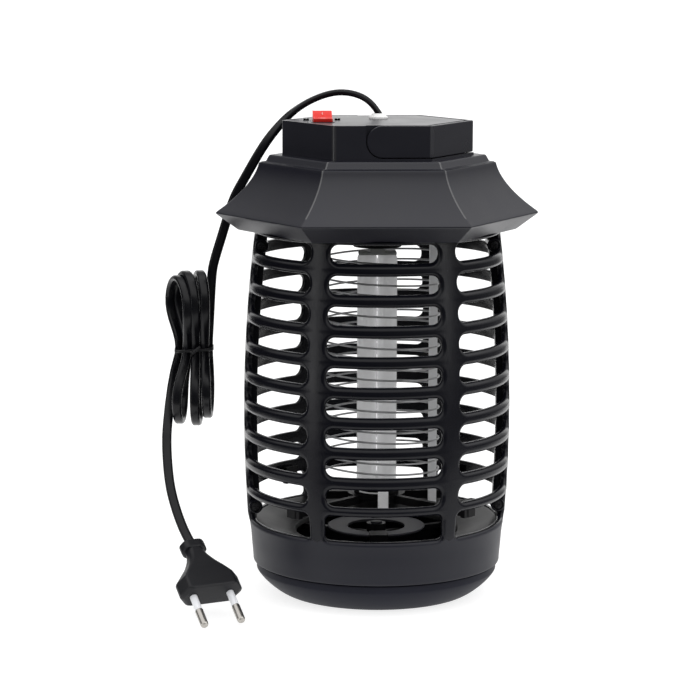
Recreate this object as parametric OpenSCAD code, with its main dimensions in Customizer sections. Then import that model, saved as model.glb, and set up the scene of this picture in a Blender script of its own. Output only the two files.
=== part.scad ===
// Electric bug zapper: a barrel cage under a six-sided roof, with a lamp and a wire grid
// inside, a twist-off collection tray below and a switch box with a folding bail above.
// Origin: centre of the footprint, on the surface that it stands on. +Z up, front is -Y.

/* [Cage] */
// Largest outer radius of the barrel
cage_r = 66.4; // [64:0.1:68]
// Height of the widest point of the barrel
cage_waist_z = 91; // [85:1:97]
// Radius of the curve that the barrel bulges along
cage_bulge = 732; // [650:1:900]
// Thickness of the cage wall
cage_wall = 3.6; // [3:0.1:4]
// Number of low openings in each of the six panels
slot_rows = 9; // [7:1:9]
// Height from one opening to the next
slot_pitch = 14.65; // [14.4:0.05:14.8]
// Height of one opening
slot_h = 8.8; // [8:0.1:9.4]
// Width of the solid post between two panels' openings
post_w = 10.6; // [9:0.2:13]
// Height of the tall opening at the foot of each panel
foot_slot_h = 12.5; // [11:0.5:13]

/* [Base and tray] */
// Height of the seam between the cage band and the tray
seam_z = 16.2; // [15:0.1:17]
// Outer radius of the tray at the seam
tray_r = 60.2; // [59.8:0.1:60.6]
// Radius of the tray's flat underside
tray_flat_r = 47; // [44:1:50]
// Radius that the three locking lugs reach to
lug_r = 59; // [58.8:0.1:59]
// Thickness of the rubber feet below the tray
foot_proud = 0.8; // [0.6:0.1:1]

/* [Roof and box] */
// Corner radius of the roof at the eave
eave_r = 80; // [78:0.5:82]
// Height of the eave
eave_z = 191.2; // [190.5:0.1:192]
// Corner radius of the roof at its top
roof_top_r = 58.6; // [58:0.1:59]
// Height of the roof's top
roof_top_z = 215.9; // [215.5:0.1:216.5]
// Corner radius of the fascia's lower edge
fascia_r = 69; // [68.5:0.1:69.5]
// Height of the fascia's lower edge
fascia_z = 182.4; // [182.4:0.1:183]
// Corner radius of the switch box
box_r = 47.5; // [47:0.1:48.5]
// Height of the switch box's underside
box_z = 219.5; // [219.5:0.1:220]
// Height of the switch box's top
box_top_z = 236.4; // [236:0.1:237]

/* [Handle and switch] */
// Height of the handle's band
handle_h = 15.4; // [14.8:0.1:15.4]
// Thickness of the handle's band
handle_t = 2.3; // [2:0.1:2.3]
// Radius of the pins that the handle turns on
pivot_r = 2; // [1.6:0.1:2.2]
// Width of the rocker
rocker_w = 9.6; // [9:0.1:9.8]
// Tilt of the rocker either side of level
rocker_tilt = 15; // [13:0.5:15]

/* [Lamp and grid] */
// Radius of each limb of the lamp
lamp_r = 4.8; // [4.5:0.1:4.9]
// Radius of the wire coils, to the middle of the wire
coil_r = 31; // [31:0.1:32]
// Rise of one wire in one turn
coil_pitch = 10.4; // [10:0.1:12]
// Number of turns of each wire
coil_turns = 11; // [9:0.5:11]
// Radius of the grid wire
wire_r = 0.4; // [0.35:0.05:0.4]

/* [Cord and plug] */
// Radius of the cord
cord_r = 2.2; // [2:0.1:2.4]
// Spacing of the plug's pins
pin_gap = 18.6; // [18:0.1:19]
// Length of the plug's pins
pin_len = 19; // [18:0.5:19]

/* [Hidden] */
$fn = 64;

// ---- cage ----
band_top_z = 42;
band_foot_r = 61.9;
cage_top_z = fascia_z;
neck_r = 57.2;
neck_in_r = 54;
flange_z = 184.6;
flange_top_z = 187;
flange_in_r = 40.5;
first_slot_z = 181;
slot_corner = 3.6;
rear_lift = 2.1;
foot_corner = 2.4;
slot_reach = 46;
foot_slot_z = 38;
foot_post_w = 9;
boss_r = 3.4;
boss_len = 7;
boss_low_z = 44;
boss_high_z = 175;
screw_r = 1.5;
front_panels = [210, 270, 330];
rear_panels = [30, 90, 150];
function barrel_r(z) = z < band_top_z
    ? band_foot_r + (barrel_r(band_top_z) - band_foot_r) * (z - seam_z) / (band_top_z - seam_z)
    : cage_r - pow(z - cage_waist_z, 2) / (2 * cage_bulge);
function half_step(w) = floor(2 * w) / 2;
function slot_width(k) = half_step(barrel_r(first_slot_z - slot_h / 2 - k * slot_pitch) - post_w);
barrel_zs = [seam_z, band_top_z, 66, cage_waist_z, 116, 140, 162, cage_top_z];

// ---- base and tray ----
tray_curve = 1.6;
tray_curve_h = 11.6;
collar_out_r = 57.6;
collar_in_r = 55.6;
collar_top_z = 21.6;
lug_h = 2;
ring_r = 57.95;
lug_angles = [90, 210, 330];
foot_angles = [30, 150, 270];
foot_ring_r = 40;

// ---- below the grid ----
spider_angles = [30, 150, 270];
spider_z = 27.2;
spider_pad_w = 9;
arm_t = 2.3;
dish_z = 31.4;
dish_r = 24.4;
dish_in_r = 14.3;

// ---- roof ----
roof_wall = 2;
roof_bend = [61.3, 204.2];
roof_steps = 8;
eave_t = 1;
pillar_ring_r = 44.5;
pillar_r = 3.4;
pillar_angles = [30, 150, 270];
plate_z = flange_top_z;
plate_t = 2.5;
plate_top_z = plate_z + plate_t;
apo = cos(30);
function bezier(a, b, c, t) = (1 - t) * (1 - t) * a + 2 * t * (1 - t) * b + t * t * c;
roof_side = [for (i = [0 : roof_steps])
    bezier([roof_top_r, roof_top_z], roof_bend, [eave_r, eave_z], i / roof_steps)];

// ---- box and handle ----
box_wall = 1.8;
core_apo = 37.2;
box_in_apo = core_apo - box_wall;
handle_out_apo = box_r * apo;
handle_in_apo = handle_out_apo - handle_t;
handle_z = box_top_z - handle_h / 2;
handle_gap = 0.4;
bolt_ring_r = 30;
base_mid_r = 55.3;
base_top_r = 53.6;
base_step_z = 216.4;

// ---- switch ----
switch_at = [-27.6, -8];
switch_half = [5.3, 7.8];
well_half = [4.95, 7.3];
bezel_half = [5.7, 8.2];
bezel_t = 0.2;
rocker_pivot_z = 235.4;
rocker_pin_len = 10.4;
rocker_pin_r = 1;
switch_floor_z = 227.5;
ear_z = 232.9;
ear_t = 1.5;
ear_y = 1;
ear_x = 7.7;
screw_head_r = 1.4;
screw_head_h = 0.8;

// ---- lamp and grid ----
limb_x = 5;
lamp_foot_z = 52;
lamp_head_z = 170;
socket_z = 174;
strip_in_x = 26;
strip_out_x = coil_r - wire_r - 0.45;
strip_t = 2.4;
strip_foot_z = 42.5;
holder_r = 11.2;
holder_top_z = 55.6;
arm_angles = [45, 135, 225, 315];
arm_z = 46;
arm_h = 4;
arm_r = 61.3;
coil_foot_z = 57;
tab_x = 0.1;
tab_h = 8.9;
lead_z = 87.4;
ring_per_turn = 18;

// ---- plug: its frame has the pins along -Z and starts at the pin face ----
plug_at = [-82.7, -60.7, 12.8];
plug_turn = [-56, -1.5, 20];
plug_len = 33.4;
plug_collar_z = 28.4;
plug_flank = [[15.9, 0.8], [15.9, 8.6], [8.7, 17], [5.8, 22.5], [4.6, plug_collar_z]];
plug_foot_w = 14;
plug_half_t = 6.8;
plug_face_w = 11.8;
sleeve_r = 1.85;
pin_r = 2;
pin_core_r = 1.4;
sleeve_len = 9;
pin_root = 8;

// ---- the cord's route: from the gland over the roof to the hank, then on to the plug ----
gland_at = [1, 13];
gland_top_z = 239;
route_upper = [[1.6, 12.7, 238.4], [-2.2, 14.5, 243.6], [-7, 17, 247], [-13, 19.5, 248.7],
    [-20, 21.5, 248.8], [-28, 22.5, 246.6], [-36, 22.5, 242.7], [-43, 22, 237.6],
    [-49, 21, 231.3], [-54.5, 20.5, 224.4], [-60, 20, 215.7], [-65.5, 20, 206],
    [-70, 20, 198], [-73, 20, 190], [-75.5, 19.5, 182], [-78, 18, 174],
    [-80.5, 17, 166], [-82.5, 16, 158]];
route_lower = [[-104.5, 2.5, 86], [-105, -1, 77], [-104.5, -6.5, 66], [-103, -13.5, 55],
    [-100, -21, 45.5], [-96.5, -28, 37.5], [-92.6, -34.9, 31.5]];

// ---- hank: the folded part of the cord ----
hank_x = [-107, -81.5];
hank_y = 10;
hank_z = [81.5, 161];
hank_depth = 31;
tie_z = 121.7;
tie_h = 2.6;
tie_t = 1;
waist_left_x = -100;
waist_depth = 18;

// Places children at each angle round the centre
module round_at(angles, r = 0) {
    for (a = angles) rotate([0, 0, a]) translate([r, 0, 0]) children();
}

// A six-sided solid with flat front and back, from half of its side view:
// the points give corner radius and height
module hex_solid(side) {
    half = [for (p = side) [p[0] * apo, p[1]]];
    outline = concat(half, [for (i = [len(half) - 1 : -1 : 0]) [-half[i][0], half[i][1]]]);
    reach = 110;
    intersection() {
        for_side(0, outline, reach);
        for_side(60, outline, reach);
        for_side(120, outline, reach);
    }
}

module for_side(a, outline, reach) {
    rotate([0, 0, a]) rotate([90, 0, 90])
        linear_extrude(2 * reach, center = true) polygon(outline);
}

// A six-sided prism with flat front and back
module hex_prism(r, z0, z1) {
    translate([0, 0, z0]) linear_extrude(z1 - z0) circle(r, $fn = 6);
}

// A rectangle with round corners
module round_rect(w, h, r) {
    square([w - 2 * r, h], center = true);
    square([w, h - 2 * r], center = true);
    for (x = [-1, 1], y = [-1, 1]) translate([x * (w / 2 - r), y * (h / 2 - r)]) circle(r);
}

// A tube of round section through a list of points, as one closed mesh
function unit(v) = v / norm(v);
function heading(path, i) = unit(path[min(i + 1, len(path) - 1)] - path[max(i - 1, 0)]);
module swept_tube(path, r, sides, across) {
    n = len(path);
    pts = [for (i = [0 : n - 1])
        let (d = heading(path, i), u = unit(cross(d, across)), v = cross(u, d))
        for (k = [0 : sides - 1]) path[i] + r * (cos(360 * k / sides) * u
            + sin(360 * k / sides) * v)];
    walls = [for (i = [0 : n - 2], k = [0 : sides - 1]) let (m = (k + 1) % sides)
        [i * sides + k, i * sides + m, (i + 1) * sides + m, (i + 1) * sides + k]];
    ends = [[for (k = [sides - 1 : -1 : 0]) k], [for (k = [0 : sides - 1]) (n - 1) * sides + k]];
    polyhedron(pts, concat(walls, ends), convexity = 8);
}

// ---- base and tray ----
module collection_tray() {
    color("#1b1c1f") difference() {
        union() {
            rotate_extrude() polygon(concat([[0, foot_proud]],
                [for (a = [0 : 10 : 90])
                    [tray_flat_r + (tray_r - tray_flat_r) * pow(sin(a), tray_curve),
                        foot_proud + tray_curve_h * (1 - pow(cos(a), tray_curve))]],
                [[tray_r, seam_z - 0.4], [collar_out_r, seam_z - 0.4],
                    [collar_out_r, collar_top_z], [collar_in_r, collar_top_z],
                    [collar_in_r, 13.5], [53.4, 8.4], [49, 4.4], [45, 3.2], [0, 3.2]]));
            for (a = lug_angles) rotate([0, 0, a - 8]) rotate_extrude(angle = 16)
                translate([collar_out_r - 1, collar_top_z - lug_h])
                    square([lug_r - collar_out_r + 1, lug_h]);
        }
        round_at(foot_angles, foot_ring_r) translate([0, 0, -1]) cylinder(2.7, r = 4.6);
    }
}

module rubber_feet() {
    color("#2c2c2c") round_at(foot_angles, foot_ring_r) cylinder(1.7, r = 4.5);
}

module tray_lock_ring() {
    color("#202124") union() {
        rotate_extrude() translate([ring_r, 23]) square([2.2, 2]);
        for (a = lug_angles) {
            rotate([0, 0, a - 11]) rotate_extrude(angle = 22)
                translate([ring_r, 16.8]) square([1.4, 2.4]);
            rotate([0, 0, a - 10.8]) rotate_extrude(angle = 2)
                translate([ring_r + 0.1, 18]) square([1.2, 5.5]);
        }
    }
}

// ---- cage ----
module barrel_wall() {
    outer = [for (z = barrel_zs) [barrel_r(z), z]];
    inner = [[barrel_r(180) - cage_wall, 180], [barrel_r(140) - cage_wall, 140],
        [barrel_r(cage_waist_z) - cage_wall, cage_waist_z],
        [barrel_r(66) - cage_wall, 66], [barrel_r(38) - cage_wall, 38],
        [barrel_r(30) - 2.4, 30], [barrel_r(seam_z) - 2.4, seam_z]];
    rotate_extrude($fn = 120) polygon(concat(outer,
        [[neck_r, cage_top_z], [neck_r, flange_top_z], [flange_in_r, flange_top_z],
            [flange_in_r, flange_z], [neck_in_r, flange_z], [neck_in_r, first_slot_z + 0.9]],
        inner));
}

// The rear half's openings sit lift higher; its top one is shorter, to keep the rim whole.
module panel_slots(a, lift) {
    rotate([90, 0, a + 90]) {
        for (k = [0 : slot_rows - 1]) {
            h = k == 0 ? slot_h - lift : slot_h;
            translate([0, first_slot_z - slot_h + lift + h / 2 - k * slot_pitch, slot_reach])
                linear_extrude(30)
                    round_rect(slot_width(k), h, min(slot_corner, h / 2 - 0.15));
        }
        translate([0, foot_slot_z + foot_slot_h / 2, slot_reach])
            linear_extrude(30)
                round_rect(half_step(barrel_r(foot_slot_z) - foot_post_w), foot_slot_h, foot_corner);
    }
}

module cage_half(side) {
    boss_at = [[boss_low_z, barrel_r(boss_low_z)], [boss_high_z, barrel_r(boss_high_z)]];
    difference() {
        union() {
            difference() {
                intersection() {
                    barrel_wall();
                    translate([-100, side < 0 ? -100 : 0, 0]) cube([200, 100, 200]);
                }
                for (a = side < 0 ? front_panels : rear_panels)
                    panel_slots(a, side < 0 ? 0 : rear_lift);
            }
            for (b = boss_at, x = [-1, 1])
                translate([x * (b[1] - boss_r - 0.8), 0, b[0]])
                    rotate([side < 0 ? 90 : -90, 0, 0]) cylinder(boss_len, r = boss_r);
        }
        for (b = boss_at, x = [-1, 1]) translate([x * (b[1] - boss_r - 0.8), 0, b[0]]) {
            rotate([90, 0, 0]) cylinder(12, r = screw_r + 0.05, center = true);
            translate([0, -boss_len - 1, 0]) rotate([-90, 0, 0]) cylinder(2.4, r = 2.5);
        }
        for (a = pillar_angles) rotate([0, 0, a]) translate([pillar_ring_r, 0, flange_z - 1])
            cylinder(5, r = 1.7);
    }
}

module cage_front() {
    color("#1d1e21") cage_half(-1);
}

module cage_rear() {
    color("#1d1e21") cage_half(1);
}

module cage_screws() {
    color("#3a3b3e") for (z = [boss_low_z, boss_high_z], x = [-1, 1])
        translate([x * (barrel_r(z) - boss_r - 0.8), 0, z]) rotate([90, 0, 0]) difference() {
            union() {
                translate([0, 0, -5.5]) cylinder(11.4, r = screw_r);
                translate([0, 0, 5.6]) cylinder(1.4, r = 2.4);
            }
            translate([0, 0, 7]) cube([0.6, 3, 1.4], center = true);
            translate([0, 0, 7]) cube([3, 0.6, 1.4], center = true);
        }
}

// ---- below the grid ----
module catch_funnel() {
    color("#232427") rotate_extrude() polygon([[60.3, 33.5], [60.3, 37.5], [58.5, 37.5],
        [41, 31.5], [40, 29.5], [42, 29.5]]);
}

module lower_spider() {
    color("#17181a") {
        cylinder_at([0, 0, 22], 12, 4.8);
        round_at(spider_angles) {
            translate([3, -1.6, spider_z]) cube([38.5, 3.2, arm_t]);
            translate([dish_in_r, -1.6, spider_z]) cube([8, 3.2, dish_z - spider_z]);
        }
        rotate([0, 0, 270]) translate([dish_in_r, -spider_pad_w / 2, spider_z])
            cube([dish_r - dish_in_r, spider_pad_w, dish_z + 1.6 - spider_z]);
    }
}

module cylinder_at(p, h, r) {
    translate(p) cylinder(h, r = r);
}

module deflector_dish() {
    color("#8d8f92") {
        difference() {
            rotate_extrude() polygon([[dish_in_r, dish_z], [dish_r - 1, dish_z],
                [dish_r, dish_z + 1.2], [dish_r - 0.2, dish_z + 1.6],
                [dish_r - 1, dish_z + 1.6], [dish_in_r, dish_z + 1.2]]);
            rotate([0, 0, 270]) translate([dish_in_r - 1, -spider_pad_w / 2 - 0.2, dish_z - 1])
                cube([dish_r, spider_pad_w + 0.4, 8]);
        }
        cylinder_at([0, 0, 34], 0.8, 2.9);
    }
}

module grid_bottom_plate() {
    color("#17181a") difference() {
        union() {
            cylinder_at([0, 0, arm_z], arm_h, 14.4);
            round_at(arm_angles) {
                translate([12, -1.5, arm_z]) cube([arm_r - 12, 3, arm_h]);
                translate([arm_r - 3, -4, arm_z]) cube([2.7, 8, 8.6]);
            }
            for (x = [-34, 12]) translate([x, strip_t / 2 + 0.1, arm_z]) cube([22, 4, arm_h]);
        }
        cylinder_at([0, 0, arm_z - 1], arm_h + 2, holder_r);
        translate([tab_x - 0.4, -16, arm_z - 1]) cube([6, 5, arm_h + 2]);
        translate([-9, -16, 48]) cube([10, 4.7, 4]);
    }
}

module lamp_holder() {
    color("#131416") difference() {
        cylinder_at([0, 0, 40], holder_top_z - 40, holder_r);
        for (s = [-1, 1]) cylinder_at([s * limb_x, 0, lamp_foot_z - 4], 10, lamp_r + 0.1);
        translate([-limb_x, -1.1, lamp_foot_z - 4]) cube([2 * limb_x, 2.2, 3]);
    }
}

module contact_tab() {
    color("#c9cacc") translate([tab_x, -12, 43.2]) cube([5.2, 0.8, tab_h]);
}

module contact_wire() {
    color("#e8e8e8") translate([tab_x, -12.2, lead_z]) rotate([90, 0, 0]) rotate([0, 0, -105])
        rotate_extrude(angle = 15) translate([36, 0]) circle(0.5);
}

module grid_strips() {
    color("#c4c6c8") for (s = [-1, 1]) difference() {
        translate([s > 0 ? strip_in_x : -strip_out_x, -strip_t / 2, strip_foot_z])
            cube([strip_out_x - strip_in_x, strip_t, plate_z - strip_foot_z]);
        translate([s * strip_out_x, 0, strip_foot_z - 0.6]) rotate([0, s * 35, 0])
            cube([6, 10, 3], center = true);
    }
}

// One wire of the grid: a left-handed coil that starts at the given angle
module coil_wire(start) {
    steps = ring_per_turn * coil_turns;
    swept_tube([for (i = [0 : steps]) let (a = start - 360 * i / ring_per_turn)
        [coil_r * cos(a), coil_r * sin(a), coil_foot_z + coil_pitch * i / ring_per_turn]],
        wire_r, 5, [0, 0, 1]);
}

module grid_wire_live() {
    color("#b4b6b8") coil_wire(0);
}

module grid_wire_return() {
    color("#b4b6b8") coil_wire(180);
}

module grid_top_plate() {
    color("#26272a") difference() {
        cylinder_at([0, 0, plate_z], plate_t, 56.8);
        cylinder_at([0, 0, plate_z - 1], plate_t + 2, 12.1);
        round_at(pillar_angles, pillar_ring_r) translate([0, 0, plate_z - 1])
            cylinder(plate_t + 2, r = 1.7);
    }
}

module lamp_tube() {
    color("#e9ebf2") {
        for (s = [-1, 1]) cylinder_at([s * limb_x, 0, lamp_foot_z - 3],
            lamp_head_z - lamp_foot_z + 3, lamp_r);
        translate([0, 0, lamp_foot_z + 6]) rotate([0, 90, 0])
            cylinder(2 * limb_x, r = 2.6, center = true);
    }
}

module lamp_base() {
    color("#b9bbbf") {
        translate([-9.4, -4.6, lamp_head_z]) cube([18.8, 9.2, 1.8]);
        translate([-3.6, -4.6, lamp_head_z + 1.8]) cube([7.2, 9.2, 12]);
    }
}

module lamp_socket() {
    color("#131416") difference() {
        union() {
            cylinder_at([0, 0, socket_z], plate_top_z - socket_z + 2, 12);
            cylinder_at([0, 0, plate_top_z], 2, 15);
        }
        translate([-3.7, -4.7, socket_z - 1]) cube([7.4, 9.4, 13.5]);
    }
}

// ---- roof ----
module roof() {
    outer = concat(roof_side, [[eave_r, eave_z - eave_t], [fascia_r, fascia_z]]);
    inner_side = [for (i = [0 : 2 : roof_steps - 2]) roof_side[i] - [roof_wall, roof_wall]];
    inner = concat(inner_side, [[eave_r - 4.2, eave_z - 1.6], [fascia_r - 2.6, fascia_z + 0.8],
        [fascia_r - 2.6, fascia_z - 1]]);
    color("#2f3033") difference() {
        union() {
            difference() {
                hex_solid(outer);
                hex_solid(inner);
            }
            round_at(pillar_angles, pillar_ring_r) translate([0, 0, plate_top_z])
                cylinder(roof_top_z - roof_wall - plate_top_z + 1, r = pillar_r);
        }
        round_at(pillar_angles, pillar_ring_r) translate([0, 0, plate_top_z - 1])
            cylinder(14, r = 1.6);
        round_at(pillar_angles, bolt_ring_r) translate([0, 0, roof_top_z - 5])
            cylinder(8, r = 1.8);
        cylinder_at([0, 0, roof_top_z - 5], 8, 7);
    }
}

module roof_screws() {
    color("#8a8c8f") round_at(pillar_angles, pillar_ring_r) {
        cylinder_at([0, 0, flange_z - 1.6], 1.6, 3);
        cylinder_at([0, 0, flange_z], 16, 1.55);
    }
}

// ---- box ----
module housing_base() {
    color("#2b2c2f") difference() {
        hex_solid([[base_top_r, box_z], [base_mid_r, base_step_z],
            [roof_top_r - 0.4, roof_top_z]]);
        hex_prism(47, roof_top_z - 1, box_z - 2);
        round_at(pillar_angles, bolt_ring_r) translate([0, 0, roof_top_z])
            cylinder(8, r = 1.8);
        cylinder_at([0, 0, roof_top_z], 8, 7);
    }
}

module top_housing() {
    color("#26272a") difference() {
        union() {
            difference() {
                hex_prism(box_r, box_z, box_top_z);
                hex_prism(box_in_apo / apo, box_z - 1, box_top_z - 2);
                intersection() {
                    hex_prism(box_r - 2.6, box_z - 1, box_top_z - 2);
                    translate([-60, -60, box_z - 1]) cube([48, 120, 30]);
                }
                handle_channel();
            }
            round_at(pillar_angles, bolt_ring_r) translate([0, 0, box_z])
                cylinder(box_top_z - 1 - box_z, r = 3.2);
        }
        round_at(pillar_angles, bolt_ring_r) translate([0, 0, box_z - 1])
            cylinder(12, r = 1.55);
        for (s = [-1, 1]) translate([0, s * 38, handle_z]) rotate([90, 0, 0])
            cylinder(8, r = pivot_r, center = true);
        translate([switch_at[0] - switch_half[0] - 0.1, switch_at[1] - switch_half[1] - 0.1,
            box_top_z - 4]) cube([2 * switch_half[0] + 0.2, 2 * switch_half[1] + 0.2, 8]);
        for (s = [-1, 1]) translate([switch_at[0] + s * ear_x, ear_y, box_top_z - 4]) {
            cylinder(8, r = 1.3);
            translate([0, 0, 3]) cylinder(4, r = screw_head_r + 0.15);
        }
        translate([gland_at[0], gland_at[1], box_top_z - 4]) cylinder(8, r = 3.7);
    }
}

module handle_channel() {
    end_r = handle_h / 2 + handle_gap;
    difference() {
        translate([0, 60, handle_z]) rotate([90, 0, 0]) linear_extrude(120) union() {
            circle(end_r);
            translate([0, -end_r]) square([60, end_r]);
            translate([-end_r, 0]) square([60 + end_r, end_r + 5]);
        }
        hex_prism(core_apo / apo, box_z - 1, box_top_z + 16);
    }
}

module housing_bolts() {
    color("#8a8c8f") round_at(pillar_angles, bolt_ring_r) {
        cylinder_at([0, 0, roof_top_z - roof_wall - 2], 2, 3);
        cylinder_at([0, 0, roof_top_z - roof_wall], 14, 1.5);
    }
}

module carry_handle() {
    color("#232427") difference() {
        intersection() {
            difference() {
                hex_prism(handle_out_apo / apo, 200, 260);
                hex_prism(handle_in_apo / apo, 199, 261);
            }
            translate([0, 60, handle_z]) rotate([90, 0, 0]) linear_extrude(120) union() {
                circle(handle_h / 2);
                translate([0, -handle_h / 2]) square([60, handle_h]);
            }
        }
        for (s = [-1, 1]) translate([0, s * (handle_in_apo + 0.7), handle_z])
            rotate([90, 0, 0]) cylinder(1.6, r = pivot_r + 0.05, center = true);
    }
}

module handle_pivots() {
    color("#8a8c8f") for (s = [-1, 1])
        translate([0, s * (box_in_apo - 0.6 + handle_in_apo + 1.3) / 2, handle_z])
            rotate([90, 0, 0])
                cylinder(handle_in_apo + 1.3 - box_in_apo + 0.6, r = pivot_r, center = true);
}

// ---- switch ----
module switch_body() {
    color("#161719") translate([switch_at[0], switch_at[1], 0]) difference() {
        union() {
            translate([-bezel_half[0], -bezel_half[1], box_top_z])
                cube([2 * bezel_half[0], 2 * bezel_half[1], bezel_t]);
            translate([-switch_half[0], -switch_half[1], switch_floor_z])
                cube([2 * switch_half[0], 2 * switch_half[1], box_top_z - switch_floor_z]);
            translate([-ear_x - 2.4, ear_y - switch_at[1] - 2.6, ear_z])
                cube([2 * ear_x + 4.8, 5.2, ear_t]);
        }
        translate([-well_half[0], -well_half[1], switch_floor_z + 1.4])
            cube([2 * well_half[0], 2 * well_half[1], 20]);
        translate([0, 0, rocker_pivot_z]) rotate([0, 90, 0])
            cylinder(rocker_pin_len + 1, r = rocker_pin_r, center = true);
        for (s = [-1, 1]) translate([s * ear_x, ear_y - switch_at[1], ear_z - 1])
            cylinder(4, r = 1.2);
    }
}

module switch_rocker() {
    color("#d8281c") translate([switch_at[0], switch_at[1], rocker_pivot_z])
        rotate([rocker_tilt, 0, 0]) difference() {
            rotate([90, 0, 90]) linear_extrude(rocker_w, center = true)
                polygon([[-6.3, 4.6], [0, 3.3], [6.3, 4.6], [6, -1], [2, -4.6], [-2, -4.6],
                    [-6, -1]]);
            rotate([0, 90, 0]) cylinder(14, r = rocker_pin_r + 0.05, center = true);
        }
}

module rocker_pin() {
    color("#9a9c9f") translate([switch_at[0], switch_at[1], rocker_pivot_z])
        rotate([0, 90, 0]) cylinder(rocker_pin_len, r = rocker_pin_r, center = true);
}

module switch_terminals() {
    color("#c2a24a") for (y = [-5, 0, 5])
        translate([switch_at[0] - 2.4, switch_at[1] + y - 0.4, switch_floor_z - 5])
            cube([4.8, 0.8, 5]);
}

module switch_screws() {
    color("#2a2b2d") for (s = [-1, 1])
        translate([switch_at[0] + s * ear_x, ear_y, 0]) difference() {
            union() {
                cylinder_at([0, 0, ear_z], box_top_z - 1 - ear_z, 1.15);
                cylinder_at([0, 0, box_top_z - 1], 1 + screw_head_h, screw_head_r);
            }
            translate([0, 0, box_top_z + screw_head_h]) cube([0.5, 3, 0.8], center = true);
        }
}

// ---- electronics ----
module circuit_board() {
    color("#2f6b3a") translate([-12, -22, box_z + 2.5]) cube([40, 30, 1.6]);
    color("#2b2c2f") for (p = [[-9, -19], [25, -19], [-9, 5], [25, 5]])
        cylinder_at([p[0], p[1], box_z], 2.5, 2);
}

module capacitors() {
    color("#b5502e") for (i = [0 : 2])
        translate([-8 + i * 11, -19, box_z + 4.1]) cube([9, 6, 8.4]);
}

module diodes() {
    color("#1a1a1a") for (i = [0 : 4])
        translate([-7 + i * 7, -6.5, box_z + 5.4]) rotate([90, 0, 0])
            cylinder(5, r = 1.3, center = true);
}

module bleed_resistor() {
    color("#c9b27c") translate([4, -1.2, box_z + 5.8]) rotate([0, 90, 0])
        cylinder(11, r = 1.7, center = true);
}

module lamp_choke() {
    color("#7f8184") translate([14, -3, box_z + 4.1]) cube([12, 10, 9]);
}

module terminal_block() {
    color("#e4e2d8") translate([-10, 1, box_z + 4.1]) cube([14, 6, 7]);
}

// ---- cord and plug ----
module cord_gland() {
    color("#eeeeec") translate([gland_at[0], gland_at[1], 0]) {
        cylinder_at([0, 0, 230.5], box_top_z - 230.5, 3.6);
        cylinder_at([0, 0, 231.4], 3, 6);
        cylinder_at([0, 0, box_top_z], 1.4, 4.7);
        translate([0, 0, box_top_z + 1.4]) cylinder(gland_top_z - box_top_z - 1.4,
            r1 = 4, r2 = 3.2);
    }
}

module cord() {
    color("#1a1a1c") {
        swept_tube(route_upper, cord_r, 8, [0, 1, 0]);
        swept_tube(route_lower, cord_r, 8, [1, 0, 0]);
    }
}

module cord_hank() {
    mid_x = (hank_x[0] + hank_x[1]) / 2;
    mid_z = (hank_z[0] + hank_z[1]) / 2;
    end_r = hank_depth / 2;
    side_dip = waist_left_x - hank_x[0];
    side_cut_r = (pow(30, 2) + pow(side_dip, 2)) / (2 * side_dip);
    face_dip = (hank_depth - waist_depth) / 2;
    face_cut_r = (pow(24, 2) + pow(face_dip, 2)) / (2 * face_dip);
    color("#1a1a1c") difference() {
        translate([mid_x, hank_y, mid_z]) rotate([90, 0, 90])
            linear_extrude(hank_x[1] - hank_x[0], center = true) union() {
                square([hank_depth, hank_z[1] - hank_z[0] - hank_depth], center = true);
                for (s = [-1, 1]) translate([0, s * ((hank_z[1] - hank_z[0]) / 2 - end_r)])
                    circle(end_r);
            }
        translate([waist_left_x - side_cut_r, hank_y, tie_z]) rotate([90, 0, 0])
            cylinder(60, r = side_cut_r, center = true);
        for (s = [-1, 1]) translate([mid_x, hank_y + s * (waist_depth / 2 + face_cut_r), tie_z])
            rotate([0, 90, 0]) cylinder(60, r = face_cut_r, center = true);
    }
}

module cord_tie() {
    w = hank_x[1] - waist_left_x;
    color("#1c1c1e") translate([(hank_x[1] + waist_left_x) / 2, hank_y, tie_z - tie_h / 2])
        difference() {
            linear_extrude(tie_h) round_rect(w + 2 * tie_t, waist_depth + 2 * tie_t, 1.2);
            translate([0, 0, -1]) linear_extrude(tie_h + 2)
                square([w + 0.1, waist_depth + 0.2], center = true);
        }
}

module in_plug_frame() {
    translate(plug_at) rotate(plug_turn) children();
}

module plug_body() {
    outline = concat([[-plug_foot_w, 0], [plug_foot_w, 0]], plug_flank,
        [for (i = [len(plug_flank) - 1 : -1 : 0]) [-plug_flank[i][0], plug_flank[i][1]]]);
    section = [[-plug_face_w, -plug_half_t], [plug_face_w, -plug_half_t], [16, -1], [16, 1],
        [plug_face_w, plug_half_t], [-plug_face_w, plug_half_t], [-16, 1], [-16, -1]];
    color("#1e1f21") in_plug_frame() difference() {
        union() {
            intersection() {
                rotate([90, 0, 0]) linear_extrude(14, center = true) polygon(outline);
                rotate([90, 0, 90]) linear_extrude(60, center = true)
                    polygon([[-plug_half_t, 0], [plug_half_t, 0], [plug_half_t, 13],
                        [4.2, plug_collar_z], [-4.2, plug_collar_z], [-plug_half_t, 13]]);
                linear_extrude(plug_len) polygon(section);
            }
            translate([0, 0, plug_collar_z]) linear_extrude(plug_len - plug_collar_z)
                round_rect(13, 9, 3);
        }
        for (s = [-1, 1]) translate([s * pin_gap / 2, 0, -1])
            cylinder(pin_root + 1, r = sleeve_r);
    }
}

module plug_sleeves() {
    color("#f2f2f0") in_plug_frame() for (s = [-1, 1]) difference() {
        translate([s * pin_gap / 2, 0, -sleeve_len])
            cylinder(sleeve_len + pin_root, r = sleeve_r);
        translate([s * pin_gap / 2, 0, -sleeve_len - 1])
            cylinder(sleeve_len + pin_root + 2, r = pin_core_r);
    }
}

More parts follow.
